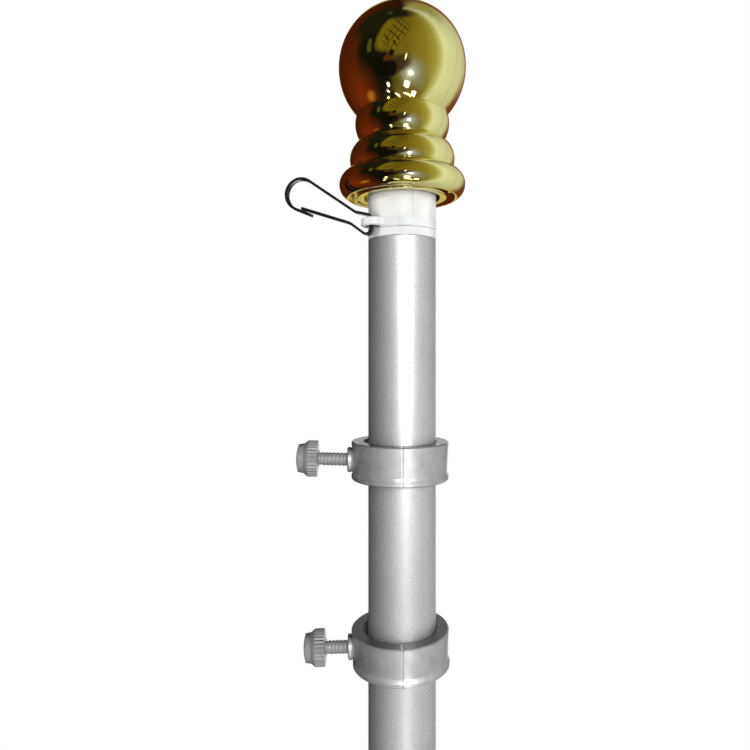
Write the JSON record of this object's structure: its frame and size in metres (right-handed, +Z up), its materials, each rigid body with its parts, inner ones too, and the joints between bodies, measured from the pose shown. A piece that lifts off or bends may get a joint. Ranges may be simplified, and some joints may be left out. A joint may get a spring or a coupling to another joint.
{
  "type": "house-mount flagpole",
  "caption": "Round aluminium flagpole with a gold ball finial, a swivelling band with a snap hook, and sliding flag rings clamped by thumb screws.",
  "frame": {"origin": "centre of the base plug's lower face, where the pole ends in its holder", "axes": "+Z up along the pole, -X the way the thumb screws point, -Y the side that the picture shows"},
  "size_m": [0.0677, 0.0476, 1.8291],
  "materials": {
    "satin_aluminium": "satin anodised with a fine lengthwise grain",
    "white_nylon": "moulded white nylon",
    "gold_plated_plastic": "mirror-bright gold metallised plastic",
    "black_spring": "glossy black coated spring strip",
    "frosted_plastic": "frosted translucent moulded plastic"
  },
  "bodies": {
    "pole": {"base_plug": "white_nylon", "lower_tube": "satin_aluminium", "joint_spigot": "white_nylon", "upper_tube": "satin_aluminium", "top_plug": "white_nylon", "finial_adaptor": "white_nylon", "finial_shell": "gold_plated_plastic"},
    "band": {"swivel_band": "white_nylon"},
    "hook": {"snap_hook": "black_spring"},
    "upper_slider": {"upper_ring": "frosted_plastic"},
    "upper_screw": {"upper_thumb_screw": "frosted_plastic"},
    "lower_slider": {"lower_ring": "frosted_plastic"},
    "lower_screw": {"lower_thumb_screw": "frosted_plastic"}
  },
  "joints": [
    {"name": "band_turn", "type": "hinge", "parent": "pole", "child": "band", "pos_m": [0, 0, 1.7461], "axis": [0, 0, 1], "continuous": true},
    {"name": "hook_swing", "type": "hinge", "parent": "band", "child": "hook", "pos_m": [-0.0138, -0.00966, 1.7461], "axis": [-0.5736, 0.8192, 0], "range_deg": [-6, 4]},
    {"name": "upper_ring_slide", "type": "slide", "parent": "pole", "child": "upper_slider", "axis": [0, 0, 1], "range_m": [-0.04, 0.055]},
    {"name": "upper_screw_turn", "type": "hinge", "parent": "upper_slider", "child": "upper_screw", "pos_m": [-0.03, -0.00001, 1.65898], "axis": [-0.9997, -0.0009, 0.0262], "range_deg": [-680, 360]},
    {"name": "lower_ring_slide", "type": "slide", "parent": "pole", "child": "lower_slider", "axis": [0, 0, 1], "range_m": [-1.4, 0.007]},
    {"name": "lower_screw_turn", "type": "hinge", "parent": "lower_slider", "child": "lower_screw", "pos_m": [-0.03, 0.00009, 1.58803], "axis": [-0.9994, 0.003, -0.0348], "range_deg": [0, 1080]}
  ]
}
